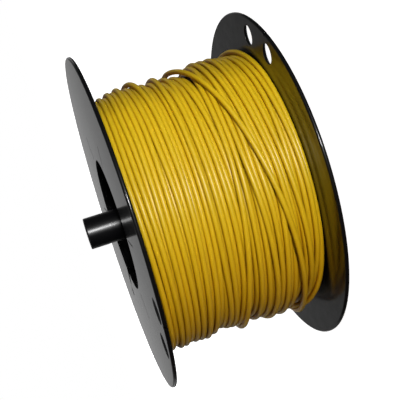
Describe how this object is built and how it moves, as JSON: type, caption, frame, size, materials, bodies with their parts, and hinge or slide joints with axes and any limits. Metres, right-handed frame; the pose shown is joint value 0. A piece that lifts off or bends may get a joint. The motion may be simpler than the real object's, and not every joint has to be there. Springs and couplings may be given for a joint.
{
  "type": "wire spool",
  "caption": "Round flanged reel wound full of single-core cable, with a hub tube standing out of one flange.",
  "frame": {"origin": "on the axis, in the outer face of the lower flange, which the spool stands on", "axes": "+Z along the axis, from the flange that it stands on to the end where the tube stands out; the flange holes are to the -Y side"},
  "size_m": [0.16, 0.16, 0.0944],
  "materials": {
    "reel_plastic": "moulded black polystyrene, satin gloss",
    "tube_plastic": "glossy black",
    "wire_sheath": "yellow PVC sheath, semi-gloss"
  },
  "bodies": {
    "drum": {"lower_flange": "reel_plastic", "upper_flange": "reel_plastic", "barrel": "reel_plastic", "lower_hub": "reel_plastic", "upper_hub": "reel_plastic", "wire_pack": "wire_sheath", "wire_outer_layer": "wire_sheath"},
    "spindle": {"spindle_tube": "tube_plastic"}
  },
  "joints": [
    {"name": "spindle_turn", "type": "hinge", "parent": "drum", "child": "spindle", "pos_m": [0, 0, 0.04], "axis": [0, 0, 1], "continuous": true}
  ]
}
